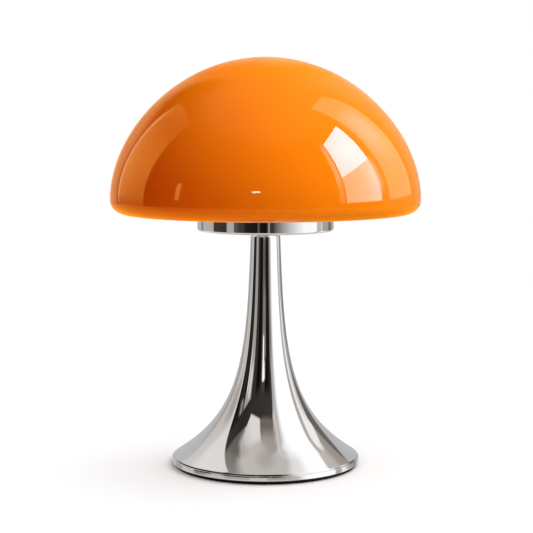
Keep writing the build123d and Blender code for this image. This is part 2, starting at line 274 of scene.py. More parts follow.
chrome = {
    "colour": (0.80, 0.79, 0.782), "colourToo": (0.78, 0.77, 0.764), "metal": 1.0,
    "patch": 18, "grain": 420, "stretch": (1, 1, 6), "rough": (0.02, 0.035),
    "bump": 0.01, "depth": 0.0001,
}

finishes = {
    "chromePlate": chrome,
    # painted shade: a dark line painted where the foot dips into the pan, from left to right of the front,
    # standing in for shade and dark reflection in the crease
    "chromeFoot": {**chrome, "paintedShade": (0.0088, 0.0097, 0.02, 1.0), "paintedShadeReach": (-0.083, 0.019)},
    # painted shade: a dark line painted over the rubber ring, on the outside of the pan's wall
    "chromePan": {**chrome, "paintedShade": (0.0033, 0.0039, 0.05, 1.0), "paintedShadeFrom": 0.0908},
    "zincSteel": {
        "colour": (0.62, 0.62, 0.64), "colourToo": (0.52, 0.53, 0.56), "metal": 1.0,
        "patch": 220, "grain": 1600, "rough": (0.28, 0.45), "bump": 0.15, "depth": 0.0002,
    },
    "castIron": {
        "colour": (0.05, 0.05, 0.055), "colourToo": (0.08, 0.078, 0.075),
        "patch": 40, "grain": 700, "rough": (0.55, 0.8), "bump": 0.6, "depth": 0.0006,
    },
    "blackRubber": {
        "colour": (0.006, 0.006, 0.006), "colourToo": (0.010, 0.010, 0.010),
        "patch": 60, "grain": 1400, "rough": (0.55, 0.75), "bump": 0.3, "depth": 0.0002, "gloss": 0.1,
    },
    "blackPlastic": {
        "colour": (0.02, 0.02, 0.02), "colourToo": (0.028, 0.028, 0.028),
        "patch": 90, "grain": 2200, "rough": (0.35, 0.5), "bump": 0.2, "depth": 0.0001,
    },
    "whitePlastic": {
        "colour": (0.80, 0.79, 0.74), "colourToo": (0.74, 0.73, 0.68),
        "patch": 70, "grain": 1500, "rough": (0.35, 0.5), "bump": 0.1, "depth": 0.0001,
    },
    "leadJacket": {
        "colour": (0.76, 0.76, 0.73), "colourToo": (0.70, 0.70, 0.67),
        "patch": 40, "grain": 900, "rough": (0.4, 0.55), "bump": 0.1, "depth": 0.0001,
    },
    "siliconeRing": {
        "colour": (0.72, 0.72, 0.69), "colourToo": (0.66, 0.66, 0.64),
        "patch": 50, "grain": 800, "rough": (0.35, 0.5), "bump": 0.1, "depth": 0.0001,
    },
    "holderPlastic": {
        "colour": (0.014, 0.014, 0.014), "colourToo": (0.02, 0.02, 0.02),
        "patch": 60, "grain": 1200, "rough": (0.16, 0.26), "bump": 0.06, "depth": 0.0001,
    },
    "porcelainCore": {
        "colour": (0.82, 0.80, 0.74), "colourToo": (0.77, 0.75, 0.69),
        "patch": 60, "grain": 900, "rough": (0.3, 0.5), "bump": 0.2, "depth": 0.0002,
    },
    "pressedBrass": {
        "colour": (0.72, 0.50, 0.20), "colourToo": (0.62, 0.42, 0.17), "metal": 1.0,
        "patch": 150, "grain": 1500, "rough": (0.2, 0.35), "bump": 0.1, "depth": 0.0001,
    },
    "solderTip": {
        "colour": (0.52, 0.52, 0.53), "colourToo": (0.42, 0.42, 0.44), "metal": 1.0,
        "patch": 400, "grain": 1800, "rough": (0.3, 0.5), "bump": 0.3, "depth": 0.0002,
    },
    "nickelCap": {
        "colour": (0.66, 0.64, 0.60), "colourToo": (0.60, 0.585, 0.555), "metal": 1.0,
        "patch": 120, "grain": 1500, "rough": (0.18, 0.3), "bump": 0.06, "depth": 0.0001,
    },
    "bulbPlastic": {
        "colour": (0.83, 0.83, 0.81), "colourToo": (0.80, 0.80, 0.78),
        "patch": 50, "grain": 1300, "rough": (0.25, 0.35), "bump": 0.05, "depth": 0.0001,
    },
    "solderMask": {
        "colour": (0.80, 0.81, 0.80), "colourToo": (0.75, 0.76, 0.75),
        "patch": 90, "grain": 1300, "rough": (0.3, 0.4), "bump": 0.05, "depth": 0.0001,
    },
    "opalGlobe": {
        "colour": (0.88, 0.88, 0.86), "colourToo": (0.85, 0.85, 0.835),
        "patch": 30, "grain": 1600, "rough": (0.3, 0.38), "bump": 0.04, "depth": 0.0001,
    },
}
made = {name: surface(name, look) for name, look in finishes.items()}
print("finishes made:", len(made))


# glass shade: orange outside, opal inside
glassLook = {
    "orange": (0.94, 0.242, 0.004),
    "orangeDeep": (0.92, 0.228, 0.003),
    "opal": (0.86, 0.80, 0.70),
    "drift": 9.0,     # scale of the colour's drift
    "rough": (0.006, 0.014),
    "grain": 260.0,
    "ior": 1.5,
    "gloss": 0.5,
    "wave": 7.0,
    "waveDepth": 0.0006,
    "waveStrength": 0.03,
    "orangePaintedHighlight": (0.94, 0.285, 0.055),
    "paintedHighlight": (0.388, 0.399),     # painted highlight: heights between which the crown's orange is painted paler, standing in for the light that its lowered gloss no longer reflects
    "crown": (0.366, 0.384),    # heights between which the gloss goes down
    "crownGloss": 0.025,
}


def orangeGlass():
    material, tree, shader = newMaterial("orangeGlass")
    drift = ramp(tree, noiseOn(tree, glassLook["drift"]), *noiseSpan, 0.0, 1.0)
    outside = mixColour(tree, drift, rgb(*glassLook["orange"]), rgb(*glassLook["orangeDeep"]))
    place = addNode(tree, "ShaderNodeTexCoord").outputs["Object"]
    height = addNode(tree, "ShaderNodeSeparateXYZ", {0: place}).outputs["Z"]
    # painted highlight: the crown's orange turns paler towards the top
    paintedHighlight = ramp(tree, height, *glassLook["paintedHighlight"], 0.0, 1.0, "SMOOTHSTEP")
    outside = mixColour(tree, paintedHighlight, outside, rgb(*glassLook["orangePaintedHighlight"]))
    inner = addNode(tree, "ShaderNodeAttribute", attribute_name="innerLayer").outputs["Fac"]
    tree.links.new(mixColour(tree, inner, outside, rgb(*glassLook["opal"])),
                   shader.inputs["Base Color"])
    rough = ramp(tree, noiseOn(tree, glassLook["grain"], detail=3.0), *noiseSpan, *glassLook["rough"])
    tree.links.new(rough, shader.inputs["Roughness"])
    bump = addNode(tree, "ShaderNodeBump", {
        "Height": noiseOn(tree, glassLook["wave"], detail=1.0),
        "Strength": glassLook["waveStrength"], "Distance": glassLook["waveDepth"]})
    tree.links.new(bump.outputs[0], shader.inputs["Normal"])
    shader.inputs["IOR"].default_value = glassLook["ior"]
    gloss = ramp(tree, height, *glassLook["crown"], glassLook["gloss"], glassLook["crownGloss"],
                 "SMOOTHSTEP")
    tree.links.new(gloss, shader.inputs["Specular IOR Level"])
    return material


shadeSizes = {
    "wall": 0.0032,
    "neckRadius": 0.0632,
    "widestHeight": 0.0272,     # above the bottom of the neck
    "lipHeight": 0.0141,
    "lipInset": 0.0124,
    "crownReach": 0.0874,
    "shoulderReach": 0.0624,
    "cornerReach": 0.0086,
    "lipReach": 0.0043,
    "undersideRise": 0.0026,
    "neckBlend": 0.007,
    "levelShare": 0.35,
    "groundEdge": 0.0008,
    "quarterHandle": 0.5523,    # handle of a quarter circle
    "turns": 288,
}


def shadeSide(inset):
    # from the crown down to the bottom of the neck, moved in by inset
    low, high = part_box("shade")
    s = shadeSizes
    base, top, wide = low.z, high.z - inset, high.x - inset
    waist = base + s["widestHeight"]
    lip = base + s["lipHeight"] + inset
    lipRadius = high.x - s["lipInset"]
    neck = s["neckRadius"] - inset
    root = lip + s["undersideRise"]
    blend = s["neckBlend"] + inset
    drawIn = inset * s["quarterHandle"]
    level = (lipRadius - neck) * s["levelShare"]
    edge = s["groundEdge"] * (-1 if inset else 1)
    return joinLines(
        bezierLine((0, top), (s["crownReach"] - drawIn, top),
                   (wide, waist + s["shoulderReach"] - drawIn), (wide, waist), 120),
        bezierLine((wide, waist), (wide, waist - s["cornerReach"] + drawIn),
                   (lipRadius + s["lipReach"] - drawIn, lip), (lipRadius, lip), 36),
        bezierLine((lipRadius, lip), (lipRadius - level, lip),
                   (neck + blend + level, root), (neck + blend, root), 36),
        arcLine((neck + blend, root - blend), blend, 90, 180, 16),
        straightLine((neck, root - blend), (neck, base + s["groundEdge"]), 4),
        [(neck - edge, base)],
    )


def glassShade():
    outer = shadeSide(0.0)
    inner = shadeSide(shadeSizes["wall"])
    turns = shadeSizes["turns"]
    mesh = latheMesh("glassShade", outer + inner[::-1], turns)
    layer = mesh.attributes.new("innerLayer", "FLOAT", "POINT")
    outerPoints = 1 + (len(outer) - 1) * turns     # the crown is one point
    layer.data.foreach_set("value", [float(i >= outerPoints) for i in range(len(mesh.vertices))])
    return addPiece("glassShade", mesh, orangeGlass(), "shade", "orange_glass", "shade")


shadePiece = glassShade()
shadePiece.visible_glossy = False     # the photographed chrome shows the studio and not the glass
print("shade made")


# trumpet foot, pan and ring
footSizes = {
    "wall": 0.0015,
    "stemRadius": 0.0146,
    "stemEdge": 0.002,
    "stemSwell": 0.0043,
    "stemReach": 0.124,
    "rimHeight": 0.0047,
    "rimEdge": 0.0007,
    "rimSlope": 32.7,
    "flareReach": 0.078,
    "flareHandle": 0.4,
    "tubeHole": 0.00505,
    "glandRadius": 0.0052,
    "glandGap": 0.0001,
    "glandDrill": 0.024,
    "cornerSlope": 0.6,     # inside corner between skirt and flare
}


def footSide(inset):
    low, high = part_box("foot_shell")
    s = footSizes
    slope = math.radians(s["rimSlope"])
    skirt, edge = high.x, s["rimEdge"]
    rimRadius = skirt - edge * (1 - math.sin(slope)) - inset * math.sin(slope)
    rimHeight = low.z + s["rimHeight"] + edge * math.cos(slope) - inset * math.cos(slope)
    stemTop = high.z - s["stemEdge"]
    stemHandle = s["stemReach"] + inset * s["flareHandle"]
    rimHandle = s["flareReach"] + inset * s["flareHandle"]
    return bezierLine(
        (s["stemRadius"] - inset, stemTop),
        (s["stemRadius"] + s["stemSwell"] - inset, stemTop - stemHandle),
        (rimRadius - rimHandle * math.cos(slope), rimHeight + rimHandle * math.sin(slope)),
        (rimRadius, rimHeight), 200)


def trumpetFoot():
    low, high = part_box("foot_shell")
    s = footSizes
    skirt, edge = high.x, s["rimEdge"]
    outer, inner = footSide(0.0), footSide(s["wall"])
    innerTop = high.z - s["wall"]
    innerSkirt = skirt - s["wall"]
    outline = joinLines(
        straightLine((s["tubeHole"], innerTop), (s["tubeHole"], high.z), 2),
        straightLine((s["tubeHole"], high.z), (s["stemRadius"] - s["stemEdge"], high.z), 6),
        arcLine((s["stemRadius"] - s["stemEdge"], high.z - s["stemEdge"]), s["stemEdge"], 90, 0, 16),
        outer,
        arcLine((skirt - edge, low.z + s["rimHeight"]), edge, 90 - s["rimSlope"], 0, 10),
        straightLine((skirt, low.z + s["rimHeight"]), (skirt, low.z), 4),
        straightLine((skirt, low.z), (innerSkirt, low.z), 2),
        [(innerSkirt, inner[-1][1] - (innerSkirt - inner[-1][0]) * s["cornerSlope"])],
        inner[::-1],
    )
    mesh = latheMesh("trumpetFoot", outline)
    glandLow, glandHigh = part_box("cord_gland")
    middle = (glandLow + glandHigh) / 2
    mesh = drillHoles(mesh, [(middle, s["glandRadius"] + s["glandGap"], s["glandDrill"], (0, 1, 0))])
    return addPiece("trumpetFoot", mesh, made["chromeFoot"], "stand", "chrome", "foot_shell")


footPieces = [trumpetFoot()]

panSizes = {
    "wall": 0.0014,
    "corner": 0.001,
    "edge": 0.0006,
    "screwCircle": 0.048,
    "screwHole": 0.0021,
    "screwAngles": (30, 150, 270),
    "blockScrewHole": 0.00155,
    "drill": 0.01,
}


def basePan():
    low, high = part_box("base_pan")
    s = panSizes
    radius, wall = high.x, s["wall"]
    floor = low.z + wall
    outline = joinLines(
        straightLine((0, low.z), (radius - s["corner"], low.z), 40),
        arcLine((radius - s["corner"], low.z + s["corner"]), s["corner"], -90, 0, 10),
        straightLine((radius, low.z + s["corner"]), (radius, high.z - s["edge"]), 4),
        arcLine((radius - s["edge"], high.z - s["edge"]), s["edge"], 0, 90, 8),
        [(radius - wall, high.z)],
        straightLine((radius - wall, high.z), (radius - wall, floor), 4),
        straightLine((radius - wall, floor), (0, floor), 20),
    )
    turns = [math.radians(a) for a in s["screwAngles"]]
    holes = holeCircle(turns, s["screwCircle"], floor, s["screwHole"], s["drill"])
    blockLow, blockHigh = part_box("block_screw")
    blockScrew = (0, (blockLow.y + blockHigh.y) / 2, floor)
    holes.append((blockScrew, s["blockScrewHole"], s["drill"], (0, 0, 1)))
    mesh = drillHoles(latheMesh("basePan", outline), holes)
    return addPiece("basePan", mesh, made["chromePan"], "stand", "chrome", "base_pan")


footPieces.append(basePan())

ringSizes = {"width": 0.009, "edge": 0.0006}


def rubberRing():
    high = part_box("foot_ring")[1]
    outer, inner = high.x, high.x - ringSizes["width"]
    edge = ringSizes["edge"]
    outline = joinLines(
        arcLine((outer - edge, edge), edge, -90, 0, 6),
        straightLine((outer, edge), (outer, high.z), 3),
        straightLine((outer, high.z), (inner, high.z), 3),
        straightLine((inner, high.z), (inner, edge), 3),
        arcLine((inner + edge, edge), edge, 180, 270, 6),
        straightLine((inner + edge, 0), (outer - edge, 0), 3),
    )
    mesh = latheMesh("rubberRing", outline, turns=192)
    return addPiece("rubberRing", mesh, made["blackRubber"], "stand", "black_rubber", "foot_ring")


footPieces.append(rubberRing())
print("foot made")


# gallery cup
cupSizes = {
    "wall": 0.0013,
    "corner": 0.0024,
    "lip": 0.0005,
    "tubeHole": 0.00505,
    "ventCount": 6,
    "ventCircle": 0.038,
    "ventRadius": 0.004,
    "drill": 0.01,
}


def galleryCup():
    low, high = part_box("gallery_cup")
    s = cupSizes
    radius, wall, corner, lip = high.x, s["wall"], s["corner"], s["lip"]
    floor = low.z + wall
    inner = radius - wall
    innerCorner = corner - wall
    outline = joinLines(
        straightLine((s["tubeHole"], low.z), (radius - corner, low.z), 40),
        arcLine((radius - corner, low.z + corner), corner, -90, 0, 16),
        straightLine((radius, low.z + corner), (radius, high.z - lip), 8),
        arcLine((radius - lip, high.z - lip), lip, 0, 90, 8),
        arcLine((inner + lip, high.z - lip), lip, 90, 180, 8),
        straightLine((inner, high.z - lip), (inner, floor + innerCorner), 8),
        arcLine((inner - innerCorner, floor + innerCorner), innerCorner, 0, -90, 8),
        straightLine((inner - innerCorner, floor), (s["tubeHole"], floor), 40),
        straightLine((s["tubeHole"], floor), (s["tubeHole"], low.z), 2),
    )
    turns = [math.tau * i / s["ventCount"] for i in range(s["ventCount"])]
    holes = holeCircle(turns, s["ventCircle"], floor, s["ventRadius"], s["drill"])
    mesh = drillHoles(latheMesh("galleryCup", outline), holes)
    return addPiece("galleryCup", mesh, made["chromePlate"], "stand", "chrome", "gallery_cup")


galleryCup()
print("gallery cup made")


# bulb cap with its rolled thread
capSizes = {
    "pitch": 0.0254 / 7,
    "threadDepth": 0.0011,
    "footRadius": 0.009,
    "footEdge": 0.0006,
    "taper": 0.004,
    "fadeOut": 0.002,     # where the thread runs out under the housing
    "turns": 96,
    "rows": 120,
}


def threadRing(height, radius, blend):
    ring = []
    for i in range(capSizes["turns"]):
        angle = math.tau * i / capSizes["turns"]
        wave = 0.5 + 0.5 * math.cos(math.tau * height / capSizes["pitch"] - angle)
        r = radius - capSizes["threadDepth"] * (1 - wave) * blend
        ring.append((r * math.cos(angle), r * math.sin(angle), height))
    return ring


def bulbCap():
    low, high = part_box("bulb_cap")
    s = capSizes
    foot, taper, start = s["footRadius"], s["taper"], low.z + s["footEdge"]
    rings = [[(0, 0, low.z)], threadRing(low.z, foot, 0)]
    for i in range(s["rows"] + 1):
        z = start + (high.z - start) * i / s["rows"]
        rise = min(1.0, (z - low.z) / taper)
        blend = min(1.0, (z - low.z) / taper, (high.z - z) / s["fadeOut"])
        rings.append(threadRing(z, foot + (high.x - foot) * math.sin(rise * math.pi / 2), blend))
    rings.append([(0, 0, high.z)])
    mesh = gridMesh("bulbCap", rings)
    return addPiece("bulbCap", mesh, made["nickelCap"], "bulb", "nickel_cap", "bulb_cap")


bulbCap()

sleeveSizes = {
    "wall": 0.0018,
    "lip": 0.0016,
    "edge": 0.001,
    "ribCount": 36,
    "ribPoints": 8,
    "ribRows": 8,
    "ribDepth": 0.0007,
    "ribPower": 0.5,
    "ribStart": 0.004,     # above the sleeve's lower end
    "ribEnd": 0.006,       # below its upper end
    "ribFade": 0.001,
}


def holderSleeve():
    low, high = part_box("holder_sleeve")
    s = sleeveSizes
    radius = high.x
    inner = radius - s["wall"]
    turns = s["ribCount"] * s["ribPoints"]
    angles = [math.tau * i / turns for i in range(turns)]

    def ring(r, z, ribbed=0.0):
        points = []
        for a in angles:
            wave = 0.5 + 0.5 * math.cos(a * s["ribCount"])
            q = r - s["ribDepth"] * ribbed * (1 - wave**s["ribPower"])
            points.append((q * math.cos(a), q * math.sin(a), z))
        return points

    ribLow, ribHigh, rows = low.z + s["ribStart"], high.z - s["ribEnd"], s["ribRows"]
    rings = [ring(radius, low.z), ring(radius, ribLow - s["ribFade"])]
    rings += [ring(radius, ribLow + (ribHigh - ribLow) * i / rows, 1.0) for i in range(rows + 1)]
    rings.append(ring(radius, ribHigh + s["ribFade"]))
    edge, lipInner = s["edge"], inner - s["lip"]
    rings += [ring(r, z) for r, z in arcLine((radius - edge, high.z - edge), edge, 0, 90, 6)]
    rings += [ring(lipInner, high.z), ring(lipInner, high.z - s["lip"]),
              ring(inner, high.z - s["lip"]), ring(inner, low.z)]
    mesh = gridMesh("holderSleeve", rings)
    return addPiece("holderSleeve", mesh, made["holderPlastic"], "stand", "holder_plastic",
                    "holder_sleeve")


holderSleeve()
print("bulb cap and lampholder made")


# finishes of the solids that stay as they are
nodeFinishes = {
    "pan_screws": "zincSteel", "ballast_washer": "zincSteel", "ballast_nut": "zincSteel",
    "block_screw": "zincSteel", "threaded_tube": "zincSteel", "gallery_washer": "zincSteel",
    "gallery_nut": "zincSteel", "ballast": "castIron", "cord_gland": "blackPlastic",
    "bulb_insulator": "blackPlastic", "terminal_block": "whitePlastic",
    "terminal_screws": "pressedBrass", "holder_screws": "pressedBrass",
    "screw_shell": "pressedBrass", "centre_contact": "pressedBrass",
    "inner_lead": "leadJacket", "neck_spacer": "chromePlate", "shade_seat": "siliconeRing",
    "holder_cap": "holderPlastic", "holder_core": "porcelainCore", "bulb_tip": "solderTip",
    "bulb_housing": "bulbPlastic", "bulb_board": "solderMask", "bulb_globe": "opalGlobe",
}
for nodeName, finish in nodeFinishes.items():
    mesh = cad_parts[nodeName].data
    mesh.materials.clear()
    mesh.materials.append(made[finish])
print("finishes set on", len(nodeFinishes), "solids")

# nothing under the shade shows in the chrome of the foot, as in the photograph
for pieceName in ("galleryCup", "bulbCap", "holderSleeve"):
    bpy.data.objects[pieceName].visible_glossy = False
for nodeName in nodeFinishes:
    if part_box(nodeName)[0].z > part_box("neck_spacer")[1].z:
        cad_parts[nodeName].visible_glossy = False


# studio: what the gloss mirrors, painted on two great spheres, one for the glass and one for the metal
# a patch: reach across, foot at both ends, top at both ends, softness across and up, level at both ends
# a round patch: its middle, half its size each way, softness, level
# azimuth is 0 towards the camera and 90 to the right; elevation 0 is the horizon, all in degrees
glassSky = {
    "radius": 12,
    "height": 0.30,
    "floor": (1.75, 0.68, 0.08),
    "horizon": (-7.5, -5.5),
    "room": (0.01, 0.01, 0.004),
    "sky": [
        ((-190, -157), (-10, -10), (95, 95), (4, 3), (0.90, 0.62, 0.38), (0.70, 0.46, 0.20)),
        ((-158, -139), (-10, -10), (24, 24), (3, 8), (1.35, 0.60, 0.22), (1.5, 0.66, 0.2)),
        ((139, 190), (-10, -10), (95, 95), (4, 3), (0.4, 0.37, 0.23), (1.0, 0.72, 0.42)),
        ((94, 139), (-10, -10), (60, 60), (4, 3), (0.33, 0.32, 0.17), (0.33, 0.32, 0.15)),
        ((-190, 190), (57, 57), (95, 95), (1, 9), (0.35, 0.36, 0.16), (0.35, 0.36, 0.16)),
        ((-176, -156), (-10, -10), (34, 34), (6, 8), (1.05, 0.64, 0.32), (0.88, 0.49, 0.19)),
        ((-190, -172), (-10, -10), (12, 12), (6, 6), (0.95, 0.56, 0.32), (0.95, 0.56, 0.32)),
        ((172, 190), (-10, -10), (12, 12), (6, 6), (0.95, 0.58, 0.34), (0.95, 0.58, 0.34)),
        ((-176, -156), (-10, -10), (6, 6), (5, 4), (1.25, 0.70, 0.42), (1.15, 0.62, 0.34)),
        ((-9.6, -3.6), (12.9, 13.1), (14.3, 14.5), (0.3, 0.2), (24, 17, 16), (24, 17, 16)),
        ((-68, -64.2), (3, 3), (17, 17), (0.6, 0.8), (4.6, 2.4, 0.6), (4.0, 2.1, 0.4)),
    ],
    # flat panels beside the lamp, measured in their distance from it
    "right": [
        ((-0.577, 0.045), (0.01, 0.01), (1.30, 1.30), (0.008, 0.008), (4.6, 4.7, 3.7), (6.6, 7.0, 6.9)),
        ((-0.20, 0.045), (0.15, 0.15), (0.53, 0.53), (0.12, 0.10), (6.0, 6.0, 5.4), (8.2, 8.3, 9.6)),
        ((-0.577, 0.045), (0.475, 0.555), (1.30, 1.30), (0.005, 0.005), (14, 13.2, 16.8), (14, 12.8, 17.0)),
        ((-0.44, -0.10), (0.60, 0.62), (1.05, 1.05), (0.12, 0.12), (16, 14.6, 19.4), (16, 14.6, 19.4)),
        ((-0.712, -0.61), (0.02, 0.02), (1.29, 1.29), (0.006, 0.01), (1.6, 1.5, 0.9), (1.6, 1.5, 0.9)),
        ((-0.712, -0.61), (0.36, 0.36), (1.28, 1.28), (0.006, 0.15), (3.5, 3.4, 2.7), (3.3, 3.3, 2.6)),
        ((0.195, 0.92), (0.01, 0.01), (2.35, 2.05), (0.015, 0.02), (2.2, 2.15, 1.45), (1.1, 1.15, 0.75)),
        ((0.30, 0.80), (0.55, 0.55), (1.25, 1.25), (0.16, 0.3), (3.6, 3.9, 4.1), (2.0, 2.2, 2.0)),
        ((0.86, 0.92), (0.01, 0.01), (1.7, 1.7), (0.012, 0.02), (1.8, 1.75, 1.3), (1.8, 1.75, 1.3)),
    ],
    "left": [
        ((0.15, 1.08), (0.0, 0.0), (1.26, 1.26), (0.012, 0.03), (0.6, 0.40, 0.1), (0.9, 0.52, 0.14)),
        ((0.15, 1.08), (0.0, 0.0), (0.72, 0.66), (0.012, 0.36), (3.6, 1.55, 0.2), (2.5, 1.15, 0.3)),
        ((0.95, 1.08), (0.0, 0.0), (1.0, 1.0), (0.05, 0.2), (2.7, 1.5, 0.6), (2.8, 1.7, 0.75)),
    ],
    "parts": [(-180, 0, -90, 90), (0, 180, -90, 90)],
}

# bands low down, for the upright walls: left and right end, softness across, level at both ends
bandReach = {"foot": -12, "top": -2.8, "softness": 0.8}

lowBands = [
    (-190, -137, 1.5, (0.53, 0.54, 0.56), (0.52, 0.53, 0.54)),
    (-137, -130, 1.2, (0.26, 0.245, 0.23), (0.26, 0.245, 0.23)),
    (-129, -97, 1, (0.58, 0.55, 0.52), (0.53, 0.49, 0.46)),
    (-97, -68, 1, (0.060, 0.053, 0.047), (0.040, 0.036, 0.033)),
    (-66.2, -54, 0.6, (0.50, 0.475, 0.455), (0.53, 0.50, 0.48)),
    (-54, -46, 0.8, (0.11, 0.10, 0.093), (0.10, 0.09, 0.083)),
    (-46, -35, 0.8, (0.060, 0.053, 0.047), (0.055, 0.049, 0.044)),
    (-35, 2, 0.8, (0.020, 0.018, 0.016), (0.008, 0.007, 0.006)),
    (-13, -9.5, 0.5, (0.12, 0.11, 0.10), (0.12, 0.11, 0.10)),
    (4, 7.6, 0.6, (0.34, 0.32, 0.30), (0.34, 0.32, 0.30)),
    (8.5, 13.5, 0.7, (0.045, 0.041, 0.037), (0.06, 0.054, 0.05)),
    (13.5, 68, 0.7, (0.07, 0.064, 0.06), (1.22, 1.22, 1.22)),
    (67.5, 96, 0.3, (1.22, 1.22, 1.22), (1.25, 1.25, 1.25)),
    (96, 107, 1, (0.64, 0.62, 0.60), (0.60, 0.575, 0.555)),
    (107, 111.5, 0.8, (0.80, 0.78, 0.77), (0.72, 0.70, 0.69)),
    (111.5, 132, 0.8, (0.46, 0.43, 0.385), (0.44, 0.41, 0.37)),
    (132, 145, 1, (0.20, 0.18, 0.165), (0.20, 0.18, 0.165)),
    (145, 190, 1, (0.42, 0.42, 0.43), (0.52, 0.53, 0.55)),
]

